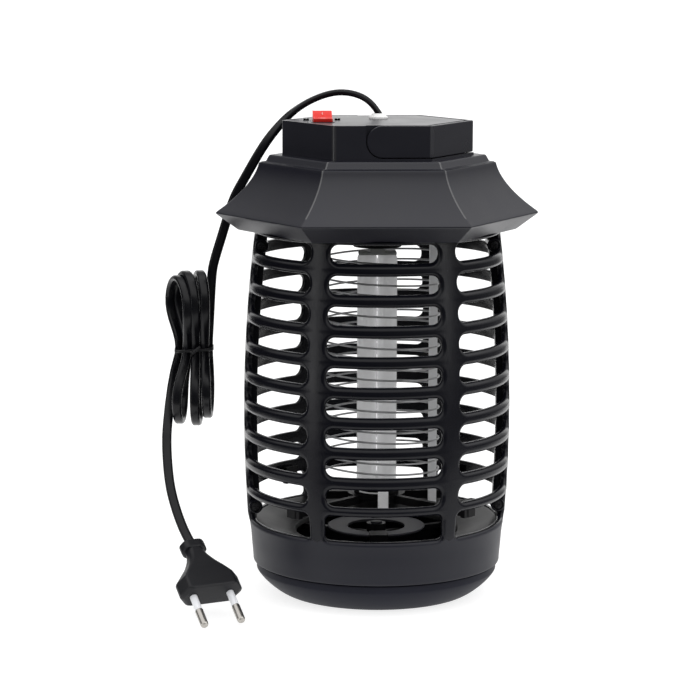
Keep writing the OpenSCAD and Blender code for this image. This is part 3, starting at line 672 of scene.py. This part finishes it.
def panel_mesh(panel, lift):
    """One of a half's three panels; its barrel openings sit lift higher."""
    verts, faces = [], []
    rows = slot_rows(lift)
    cell_low = min(rows[0][1] + (PITCH - SLOT_H) / 2, CAGE_TOP_Z)
    for k, (low, high, up_share, corner) in enumerate(rows):
        cell_high = cell_low
        following = rows[k + 1][1] if k + 1 < len(rows) else low - 6
        cell_low = (low + following) / 2
        middle, half_h = (low + high) / 2, (high - low) / 2
        half_w = (skin_r(middle) - (POST_W if k < SLOT_ROWS else FOOT_POST_W)) / 2
        cell = cell_loop(half_h, corner, cell_low, cell_high, middle)
        outer = [polar(skin_r(z), panel + phi, z) for phi, z in cell]
        inner = [polar(skin_r(z) - WALL, panel + phi, z) for phi, z in cell]
        loops = [outer]
        for out, depth in RIM:
            loop = []
            for t, h in slot_loop(half_w, half_h, corner, out, up_share):
                r = skin_r(middle + h) - depth
                loop.append(polar(r, panel + math.degrees(math.asin(t / r)), middle + h))
            loops.append(loop)
        loops.append(inner)
        first = len(verts)
        for loop in loops:
            verts += loop
        faces += ring_faces(len(loops), len(outer), first=first)
    # the profiles of the lowest band and of the ring at the top
    foot = cell_low
    skin = [(skin_r(z), z) for z in (foot, 33, 31, 29, 26.5, 24, 21.5, 19.5, 18, 17)]
    below = skin + [(61.7, 16.5), (61.35, 16.25), (60.9, 16.2), (59.5, 16.2), (59.4, 17.4),
                    (60.6, 30), (skin_r(foot) - WALL, foot)]
    above = [(skin_r(CAGE_TOP_Z), CAGE_TOP_Z), (57.2, CAGE_TOP_Z), (57.2, 187), (40.5, 187),
             (40.5, 184.6), (54, 184.6), (54, CAGE_TOP_Z - 0.2),
             (skin_r(CAGE_TOP_Z) - WALL, CAGE_TOP_Z)]
    phis = edge_phis()
    for profile in (below, above):
        first = len(verts)
        for r, z in profile:
            verts += [polar(r, panel + phi, z) for phi in phis]
        faces += ring_faces(len(profile), len(phis), closed=False, first=first)
    return verts, faces


BOSS_ZS, BOSS_INSET = (44, 175), 4.2
# how far each half's straight edges stand off the plane between the halves
SEAM_GAP = 0.12
# faces below this height and outside this radius take the lowest band's material
BAND_TOP_Z, BAND_INNER_R = 37.6, 59


def boss(side, x_sign, z):
    """The round boss that a cage screw sits in, with a sunk face on the front half."""
    x = x_sign * (skin_r(z) - BOSS_INSET)
    if side < 0:
        profile = [(1.55, 0.1), (3.4, 0.1), (3.4, 6.6), (3.3, 6.9), (3.0, 7.0), (2.6, 7.0),
                   (2.5, 6.9), (2.5, 5.6), (1.55, 5.6)]
    else:
        profile = [(0.1, 0.1), (3.4, 0.1), (3.4, 6.4), (3.2, 6.8), (2.8, 7.0), (0.1, 7.0)]
    obj = revolve("boss", profile, 40, closed=side < 0)
    turn = Matrix.Rotation(math.radians(90 if side < 0 else -90), 4, "X")
    obj.data.transform(Matrix.Translation(Vector((x, 0, z)) * MM) @ turn)
    return obj


def side_rib(side, x_sign):
    """The stiffening rib inside a half's straight edge, bent to the barrel."""
    section = [(-2.9, 0.15), (-3.1, 0.35), (-6.3, 0.35), (-6.6, 0.6), (-6.6, 2.3), (-6.3, 2.7),
               (-3.1, 3.4), (-2.9, 3.2)]
    heights = [lerp(43, 182, k / 30) for k in range(31)]
    return loft("rib", [[(x_sign * (skin_r(z) + inward), side * y, z) for inward, y in section]
                        for z in heights])


def make_cage_half(name, side, node):
    panels = (210, 270, 330) if side < 0 else (30, 90, 150)
    verts, faces = [], []
    for panel in panels:
        more, quads = panel_mesh(panel, 0 if side < 0 else REAR_LIFT)
        faces += [tuple(i + len(verts) for i in quad) for quad in quads]
        verts += more
    shell = raw_mesh("shell", verts, faces)
    tidy(shell, fill=True)
    for v in shell.data.vertices:
        if abs(v.co.y) < 0.02 * MM:
            v.co.y = side * SEAM_GAP * MM
    shell.modifiers.clear()
    extras = [side_rib(side, x) for x in (-1, 1)]
    extras += [boss(side, x, z) for x in (-1, 1) for z in BOSS_ZS]
    obj = join(name, [shell, *extras])
    tidy(obj, angle=42, reach=0.002)
    dress(obj, CAGE, "main", "cage_plastic", node)
    obj.data.materials.append(BAND)
    for face in obj.data.polygons:
        if face.center.z < BAND_TOP_Z * MM and face.center.xy.length > BAND_INNER_R * MM:
            face.material_index = 1


make_cage_half("cage_front_look", -1, "cage_front")
make_cage_half("cage_rear_look", 1, "cage_rear")


def cross_head(name, radius, height, slot_w, slot_l):
    """A domed screw head with a cross recess, from z 0 up."""
    rings = [(radius, 0), (radius, height * 0.55), (radius * 0.93, height * 0.8),
             (radius * 0.78, height * 0.95), (radius * 0.6, height)]
    obj = revolve(name, [(0.05, 0), *rings, (0.05, height)], 32)
    faces = [(0, 3, 2, 1), (4, 5, 6, 7), (0, 1, 5, 4), (1, 2, 6, 5), (2, 3, 7, 6), (3, 0, 4, 7)]
    for across, up in ((slot_w, slot_l), (slot_l, slot_w)):
        verts = [(sx * across / 2, sy * up / 2, z) for z in (height * 0.45, height + 1)
                 for sx, sy in ((-1, -1), (1, -1), (1, 1), (-1, 1))]
        cut(obj, raw_mesh("cut", verts, faces))
    return obj


def cut(obj, tool):
    """Takes tool's shape out of obj, and removes tool."""
    with editing(obj) as bm:
        weld(bm, 0.002)
        fill_holes(bm)
        bmesh.ops.recalc_face_normals(bm, faces=bm.faces)
    change = obj.modifiers.new("cut", "BOOLEAN")
    change.operation = "DIFFERENCE"
    change.solver = "EXACT"
    change.object = tool
    bpy.context.view_layer.update()
    graph = bpy.context.evaluated_depsgraph_get()
    made = bpy.data.meshes.new_from_object(obj.evaluated_get(graph))
    obj.modifiers.clear()
    obj.data = made
    bpy.data.objects.remove(tool)


def make_cage_screws():
    heads = []
    for x_sign in (-1, 1):
        for z in BOSS_ZS:
            head = cross_head("head", 2.35, 1.3, 0.6, 2.9)
            x = x_sign * (skin_r(z) - BOSS_INSET)
            head.data.transform(
                Matrix.Translation(Vector((x, -5.6, z)) * MM)
                @ Matrix.Rotation(math.radians(90), 4, "X"))
            heads.append(head)
    obj = tidy(join("cage_screws_look", heads))
    dress(obj, SCREW, "main", "dark_screw", "cage_screws")


make_cage_screws()

# ------------------------ tray and feet
TRAY_R, TRAY_FLAT_R, FOOT_PROUD, TRAY_CURVE = 60.2, 47, 0.8, 1.6


def make_tray():
    """The bowl: a rounded foot, a fine groove near the seam and a raised inner collar."""
    profile = [(0.05, FOOT_PROUD + 0.6), (30, FOOT_PROUD + 0.6), (31, FOOT_PROUD), (44, FOOT_PROUD)]
    for a in range(0, 91, 5):
        out = math.sin(math.radians(a)) ** TRAY_CURVE
        up = 1 - math.cos(math.radians(a)) ** TRAY_CURVE
        profile.append((TRAY_FLAT_R + (TRAY_R - TRAY_FLAT_R) * out, FOOT_PROUD + 11.6 * up))
    profile += [(TRAY_R, 15.1), (60.05, 15.5), (59.7, 15.7), (57.7, 15.75), (57.6, 16.2),
                (57.6, 21.2), (57.3, 21.6), (55.9, 21.6), (55.6, 21.2), (55.6, 13.5), (53.4, 8.4),
                (49, 4.4), (45, 3.2), (0.05, 3.2)]
    bowl = revolve("bowl", profile, 160)
    lug = [(57, 19.6), (59, 19.6), (59, 21.2), (58.6, 21.5), (57, 21.5)]
    lugs = []
    for angle in (90, 210, 330):
        lugs.append(loft("lug", [[polar(r, a, z) for r, z in lug]
                                 for a in range(angle - 8, angle + 9, 2)]))
    obj = tidy(join("collection_tray_look", [bowl, *lugs]), angle=44)
    dress(obj, TRAY, "tray", "tray_plastic", "collection_tray")


def make_feet():
    profile = [(0.05, 0.0), (2.6, 0.0), (2.8, 0.25), (3.2, 0.25), (3.4, 0.0), (4.0, 0.0),
               (4.35, 0.12), (4.5, 0.5), (4.5, 1.7), (0.05, 1.7)]
    pads = []
    for angle in (30, 150, 270):
        pads.append(revolve("pad", profile, 40, polar(40, angle)))
    obj = tidy(join("rubber_feet_look", pads))
    dress(obj, RUBBER, "tray", "foot_rubber", "rubber_feet")


make_tray()
make_feet()


# ------------------------ roof and box
CORNER_ARC = 4


def hex_loop(r, z, round_mm):
    """A hexagon with a flat front and back, whose corners are rounded by round_mm."""
    points = []
    for mid in range(0, 360, 60):
        centre = polar(r - round_mm / COS30, mid, z)
        points += [centre + polar(round_mm, mid - 30 + 60 * i / CORNER_ARC)
                   for i in range(CORNER_ARC + 1)]
    return points


def hex_loft(name, sections, ridge_rows, caps=True):
    """A six-sided piece through (corner radius, height, corner rounding) sections.

    In the first ridge_rows rows of faces, the flat sides take the first material and the rounded
    corners the second, a lighter one that paints a highlight on them.
    """
    obj = loft(name, [hex_loop(*section) for section in sections], caps)
    for i in range(ridge_rows * 6 * (CORNER_ARC + 1)):
        obj.data.polygons[i].material_index = int(i % (CORNER_ARC + 1) != CORNER_ARC)
    return obj


ROOF_TOP, ROOF_BEND, EAVE = (58.6, 215.9), (61.3, 204.2), (80.0, 191.2)


def roof_point(t):
    return tuple((1 - t) ** 2 * a + 2 * t * (1 - t) * b + t * t * c
                 for a, b, c in zip(ROOF_TOP, ROOF_BEND, EAVE))


def make_roof():
    """The pagoda roof: concave faces, ridges that stay thin, and a sloping fascia."""
    steps = 18
    slope = [roof_point(0.02 + 0.965 * k / steps) for k in range(steps + 1)]
    rim = [(80.0, 191.0), (80.0, 190.6), (79.7, 190.25), (79.0, 189.7), (69.4, 182.75),
           (68.9, 182.45), (68.3, 182.4), (66.5, 182.4), (66.3, 182.8), (66.4, 183.4),
           (75.6, 189.6), (75.0, 190.8)]
    under = [(70, 196.0), (64.2, 203.0), (58.6, 210.8), (56.6, 213.9)]
    outline = [(57.9, 215.9), (58.45, 215.75), *slope, *rim, *under]
    # the hole in the middle has sharper corners, and the last section closes the ring
    sections = [(30, 215.9, 0.2), *[(r, z, 0.85) for r, z in outline], (30, 213.9, 0.2)]
    sections.append(sections[0])
    obj = hex_loft("roof_look", sections, steps + 1, caps=False)
    tidy(obj, angle=28)
    dress(obj, ROOF, "main", "roof_plastic", "roof", second=RIDGE_HIGHLIGHT)


def make_housing_base():
    outline = [(57.6, 215.9), (57.9, 216.0), (57.6, 216.15), (55.5, 216.35), (55.2, 216.6),
               (54.0, 218.7), (53.6, 219.25), (53.2, 219.5), (46.6, 219.5), (46.4, 218.0)]
    obj = hex_loft("housing_base_look", [(r, z, 0.9) for r, z in outline], 8)
    tidy(obj, angle=28)
    dress(obj, ROOF, "main", "roof_plastic", "housing_base", second=RIDGE_HIGHLIGHT)


def is_box_corner(edge):
    """An upright edge at one of the box's six outer corners."""
    a, b = (v.co for v in edge.verts)
    upright = abs(a.z - b.z) > 3 * MM and (a - b).to_2d().length < 0.1 * MM
    return upright and a.to_2d().length > 42.5 * MM


def make_box():
    obj = refined("top_housing_look", "top_housing", 0.28, wide=(1.4, is_box_corner))
    tidy(obj, angle=30)
    dress(obj, BOX, "main", "box_plastic", "top_housing")
    # the rounded upright corners take the second, lighter material, a painted highlight
    obj.data.materials.append(BOX_EDGE_HIGHLIGHT)
    # the flat sides look towards 30 degrees and every 60 degrees on from there
    for face in obj.data.polygons:
        turn = math.degrees(math.atan2(face.normal.y, face.normal.x)) % 60
        if abs(face.normal.z) < 0.2 and not 24 < turn < 36 and face.center.xy.length > 43 * MM:
            face.material_index = 1


HANDLE_Z, HANDLE_H, HANDLE_T = 228.7, 15.4, 2.3
BOX_R = 47.5


def handle_stations():
    """The band's plan: (distance from its end, outer point, inward step) at each station."""
    # the inner face slides this share of its depth away from a bend, so as not to cross itself
    mitre = 0.16
    corner = 1.15
    corners = [polar(BOX_R, a).to_2d() for a in (-60, 0, 60)]
    ends = [Vector((0, -BOX_R * COS30)), *corners, Vector((0, BOX_R * COS30))]
    stations, run = [], 0.0
    for i, (a, b) in enumerate(zip(ends, ends[1:])):
        d = (b - a).normalized()
        inward = Vector((-d.y, d.x))
        length = (b - a).length
        near = corner if i else 0
        far = corner if i < 3 else 0
        stops = [near + (length - near - far) * k / 12 for k in range(13)]
        for s in stops:
            slide = Vector((0, 0))
            if i and s == stops[0]:
                slide = d * mitre
            if i < 3 and s == stops[-1]:
                slide = -d * mitre
            stations.append((run + s, a + d * s, inward + slide))
        run += length
    return stations, run


def handle_point(stations, s, depth):
    """The plan's point at a distance along the band and a depth inward."""
    for (s0, p0, m0), (s1, p1, m1) in zip(stations, stations[1:]):
        if s <= s1 + 1e-9:
            t = 0 if s1 == s0 else (s - s0) / (s1 - s0)
            return p0.lerp(p1, t) + m0.lerp(m1, t) * depth
    return stations[-1][1] + stations[-1][2] * depth


def make_handle():
    """The folded bail: a flat band round half the box with round ends."""
    stations, run = handle_stations()
    end_r = HANDLE_H / 2
    angles = [math.radians(a) for a in range(0, 91, 6)]
    inner_stops = [s for s, _, _ in stations if 0.01 < s < run - 0.01]

    def outline(inset):
        r = end_r - inset
        head = [(-r * math.cos(a), r * math.sin(a)) for a in angles]
        tail = [(run + r * math.cos(a), r * math.sin(a)) for a in reversed(angles)]
        return head + [(s, r) for s in inner_stops] + tail

    first, last = stations[0], stations[-1]
    before = (-end_r, first[1] - Vector((end_r, 0)), first[2])
    after = (run + end_r, last[1] - Vector((end_r, 0)), last[2])
    plan = [before, *stations, after]

    def place(s, v, depth):
        p = handle_point(plan, s, depth)
        return (p.x, p.y, HANDLE_Z + v)

    rim = [(0.5, 0.0), (0.18, 0.12), (0.0, 0.42), (0.0, HANDLE_T - 0.35), (0.3, HANDLE_T)]
    verts = []
    for inset, depth in rim:
        line = outline(inset)
        verts += [place(s, v, depth) for s, v in line]
        verts += [place(s, -v, depth) for s, v in reversed(line)]
    faces = ring_faces(len(rim), 2 * len(line))
    rows = 6
    for inset, depth in (rim[0], rim[-1]):
        line = outline(inset)
        base = len(verts)
        for k in range(rows + 1):
            verts += [place(s, v * (1 - 2 * k / rows), depth) for s, v in line]
        faces += ring_faces(rows + 1, len(line), closed=False, first=base)
    obj = raw_mesh("carry_handle_look", verts, faces)
    tidy(obj, angle=28)
    dress(obj, HANDLE, "handle", "handle_plastic", "carry_handle")


make_roof()
make_housing_base()
make_box()
make_handle()

# ------------------------ switch
SWITCH = Vector((-27.6, -8, 0))
ROCKER_PIVOT_Z = 235.4
ROCKER_TILT = math.radians(15)


def make_switch():
    body = tidy(refined("switch_body_look", "switch_body", 0.18), angle=30)
    dress(body, BOX, "main", "socket_black", "switch_body")
    half_w = 4.75
    side = [(-6.3, 4.6), (-5.2, 4.22), (-3.4, 3.75), (-1.7, 3.42), (0, 3.3), (1.7, 3.42),
            (3.4, 3.75), (5.2, 4.22), (6.3, 4.6), (6.15, 1.5), (6, -1), (4, -2.9), (2, -4.6),
            (-2, -4.6), (-4, -2.9), (-6, -1), (-6.15, 1.5)]
    rocker = loft("switch_rocker_look", [[(x, y, z) for y, z in side] for x in (-half_w, half_w)])
    bevel_edges(rocker, 0.35, 3, angle=25)
    turn = (Matrix.Translation(Vector((SWITCH.x, SWITCH.y, ROCKER_PIVOT_Z)) * MM)
            @ Matrix.Rotation(ROCKER_TILT, 4, "X"))
    rocker.data.transform(turn)
    tidy(rocker, angle=30)
    dress(rocker, RED, "rocker", "rocker_red", "switch_rocker")
    bar = [Vector((0, 2.2, 3.56)), Vector((0, 4.3, 4.03))]
    # the ring mark lies on the rocker's sloping front part
    ring_r, ring_y, ring_z, ring_rise = 1.05, -3.4, 3.75, -0.26
    ring = [Vector((ring_r * x, ring_y + ring_r * y, ring_z + ring_rise * y))
            for x, y in circle_section(1, 28)]
    marks = [sweep("mark", bar, [Vector((1, 0, 0))] * len(bar),
                   [(0.2, 0.1), (-0.2, 0.1), (-0.2, -0.2), (0.2, -0.2)]),
             sweep("mark", ring, [Vector((0, 0, 1))] * len(ring), circle_section(0.17, 8),
                   closed=True)]
    mark = join("switch_marks", marks)
    mark.data.transform(turn)
    tidy(mark)
    dress(mark, MARK, "rocker", "rocker_red")


make_switch()

# ------------------------ lamp and grid
COIL_R, COIL_PITCH, COIL_TURNS, COIL_FOOT_Z = 31, 10.4, 11, 57
WIRE_R = 0.5
LIMB_R, LIMB_X, LIMB_FOOT_Z, LIMB_TOP_Z = 4.95, 5, 49, 170
BRIDGE_R, BRIDGE_Z = 2.6, 58


def make_coil(name, start, node):
    """One left-handed high-voltage wire."""
    steps = 60
    path = []
    for i in range(COIL_TURNS * steps + 1):
        a = math.radians(start) - 2 * math.pi * i / steps
        path.append(Vector((COIL_R * math.cos(a), COIL_R * math.sin(a),
                            COIL_FOOT_Z + COIL_PITCH * i / steps)))
    obj = sweep(name, path, [Vector((0, 0, 1))] * len(path), circle_section(WIRE_R, 8))
    tidy(obj, angle=60)
    dress(obj, WIRE, "main", "grid_wire", node)


def make_lamp():
    """The two limbs of the tube and the bridge between them, and the tube's base."""
    profile = [(0.05, LIMB_FOOT_Z), (3.9, LIMB_FOOT_Z), (4.6, LIMB_FOOT_Z + 0.6),
               (LIMB_R, LIMB_FOOT_Z + 1.6), (LIMB_R, LIMB_TOP_Z - 1.8), (4.7, LIMB_TOP_Z - 0.8),
               (4.3, LIMB_TOP_Z - 0.2), (0.05, LIMB_TOP_Z)]
    limbs = [revolve("limb", profile, 48, (x, 0)) for x in (-LIMB_X, LIMB_X)]
    run = [Vector((x, 0, BRIDGE_Z)) for x in (-LIMB_X, -2, 2, LIMB_X)]
    bridge = sweep("bridge", run, [Vector((0, 1, 0))] * len(run), circle_section(BRIDGE_R, 24))
    obj = tidy(join("lamp_tube_look", [*limbs, bridge]), angle=40)
    dress(obj, LAMP, "main", "lamp_glass", "lamp_tube")
    base = tidy(refined("lamp_base_look", "lamp_base", 0.5, 3), angle=30)
    dress(base, NECK, "main", "lamp_base_grey", "lamp_base")


make_coil("grid_wire_live_look", 0, "grid_wire_live")
make_coil("grid_wire_return_look", 180, "grid_wire_return")
make_lamp()

# the pale ring's steps round, and half the width of its opening
DISH_STEPS, DISH_GAP = 88, 4.7


def make_dish():
    """The pale ring, open at the front where the spider's pad comes through, and the cap."""
    section = [
        (14.3, 31.5), (23.2, 31.4), (23.6, 31.6), (24.4, 32.5), (24.3, 32.9), (24.0, 33.0),
        (23.5, 33.0), (22.6, 32.7), (14.7, 32.6), (14.4, 32.4)]
    loops = []
    for k in range(DISH_STEPS + 1):
        loop = []
        for r, z in section:
            gap = math.asin(DISH_GAP / r)
            a = math.radians(270) + lerp(gap, 2 * math.pi - gap, k / DISH_STEPS)
            loop.append((r * math.cos(a), r * math.sin(a), z))
        loops.append(loop)
    ring = loft("ring", loops)
    cap = revolve("cap", [(0.05, 34), (2.9, 34), (2.9, 34.5), (2.6, 34.75), (0.05, 34.8)], 40)
    obj = tidy(join("deflector_dish_look", [ring, cap]))
    dress(obj, DISH, "main", "dish_grey", "deflector_dish")


make_dish()


def make_contact_lead():
    """The thin white lead that bows across to the contact tab, an arc of 15 degrees."""
    bow_r, centre_x, y, centre_z = 36, 0.1, -12.2, 87.4
    path = [Vector((centre_x - bow_r * math.sin(math.radians(a)), y,
                    centre_z - bow_r * math.cos(math.radians(a)))) for a in range(16)]
    obj = sweep("contact_wire_look", path, [Vector((0, 0, 1))] * len(path),
                circle_section(0.45, 10))
    tidy(obj, angle=60)
    dress(obj, LEAD, "main", "lead_white", "contact_wire")


make_contact_lead()

# ------------------------ pieces finished from CAD
# CAD node, edge rounding, material, the record's slot
FINISHED = [
    ("tray_lock_ring", 0.2, INNER, "inner_plastic"),
    ("catch_funnel", 0.3, INNER, "inner_plastic"),
    ("lower_spider", 0.35, INNER, "inner_plastic"),
    ("grid_bottom_plate", 0.35, INNER, "inner_plastic"),
    ("lamp_holder", 0.3, SOCKET, "socket_black"),
    ("contact_tab", 0.15, TAB, "tab_metal"),
    ("grid_strips", 0.3, STRIP, "strip_white"),
    ("grid_top_plate", 0.3, INNER, "inner_plastic"),
    ("lamp_socket", 0.4, SOCKET, "socket_black"),
    ("switch_screws", 0.12, SUNK_SCREW_PAINTED_SHADE, "dark_screw"),
]
for cad_node, rounding, material, slot_name in FINISHED:
    piece = tidy(refined(cad_node + "_look", cad_node, rounding), angle=32)
    dress(piece, material, "main", slot_name, cad_node)

# CAD nodes that stay as they are, inside the box or behind screws
KEPT = {
    "roof_screws": STEEL, "housing_bolts": STEEL, "handle_pivots": STEEL, "rocker_pin": STEEL,
    "switch_terminals": BRASS, "circuit_board": BOARD, "capacitors": FILM, "diodes": DIODE,
    "bleed_resistor": RESISTOR, "lamp_choke": CHOKE, "terminal_block": CREAM,
}
for cad_node, material in KEPT.items():
    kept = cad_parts[cad_node]
    kept.data.materials.clear()
    kept.data.materials.append(material)


# ------------------------ studio
# how strongly each part of the room shines; SIDES goes from the left to the right
ABOVE, BEHIND, UPPER_RIGHT = 1.3, 1.15, 0.4
SIDES = (0.03, 0.2)


def make_world():
    """A studio that lights from behind and above and is dim at the sides, with a white backdrop."""
    world = bpy.data.worlds.new("studio")
    bpy.context.scene.world = world
    world.use_nodes = True
    nodes, links = world.node_tree.nodes, world.node_tree.links
    background = nodes["Background"]
    background.inputs["Color"].default_value = (1, 1, 1, 1)
    place = nodes.new("ShaderNodeTexCoord")
    split = nodes.new("ShaderNodeSeparateXYZ")
    links.new(place.outputs["Generated"], split.inputs["Vector"])

    def ramp(source, low, high, at_low, at_high):
        node = nodes.new("ShaderNodeMapRange")
        node.interpolation_type = "SMOOTHSTEP"
        for key, value in (("From Min", low), ("From Max", high), ("To Min", at_low),
                           ("To Max", at_high)):
            node.inputs[key].default_value = value
        links.new(source, node.inputs["Value"])
        return node.outputs["Result"]

    def combine(operation, a, b):
        node = nodes.new("ShaderNodeMath")
        node.operation = operation
        for i, value in enumerate((a, b)):
            if isinstance(value, float):
                node.inputs[i].default_value = value
            else:
                links.new(value, node.inputs[i])
        return node.outputs["Value"]

    x, y, z = (split.outputs[axis] for axis in "XYZ")
    above = combine("MULTIPLY", ramp(z, 0.28, 0.62, 0.0, ABOVE), ramp(y, 0.2, 0.75, 1.0, 0.12))
    upper_right = combine(
        "MULTIPLY", ramp(x, 0.2, 0.8, 0.0, UPPER_RIGHT), ramp(z, 0.02, 0.3, 0.0, 1.0))
    behind = combine("MULTIPLY", ramp(y, 0.8, 0.93, 0.0, BEHIND), ramp(z, 0.3, 0.75, 1.0, 0.0))
    sides = ramp(x, -0.9, 0.9, *SIDES)
    total = combine("ADD", combine("ADD", above, behind), combine("ADD", sides, upper_right))
    seen = nodes.new("ShaderNodeLightPath").outputs["Is Camera Ray"]
    links.new(combine("MAXIMUM", total, seen), background.inputs["Strength"])


def area_light(name, size, power, place):
    """A rectangular light that is aimed at the middle of the object."""
    aim = Vector((0, 0, 0.13))
    data = bpy.data.lights.new(name, "AREA")
    data.shape = "RECTANGLE"
    data.size, data.size_y = size
    data.energy = power
    lamp = add_object(name, data)
    lamp.location = place
    lamp.rotation_euler = (aim - Vector(place)).to_track_quat("-Z", "Y").to_euler()


def make_floor():
    """A white sheet below the object, which widens towards the back."""
    mesh = bpy.data.meshes.new("floor")
    mesh.from_pydata([(-0.36, -0.17, 0), (0.32, -0.17, 0), (2.6, 9, 0), (-3.2, 9, 0)], [],
                     [(0, 1, 2, 3)])
    obj = add_object("floor", mesh)
    obj.data.materials.append(
        moulded("floor_white", (0.4, 0.4, 0.4), 0.7, shade=0.01, specular=0.05, glow=0.8))


make_world()
make_floor()
area_light("front_left", (0.14, 0.9), 2.0, (-1.25, -0.75, 0.25))
area_light("front_right", (0.12, 0.9), 1.5, (1.25, -0.75, 0.45))
bpy.context.scene.view_settings.view_transform = "Standard"
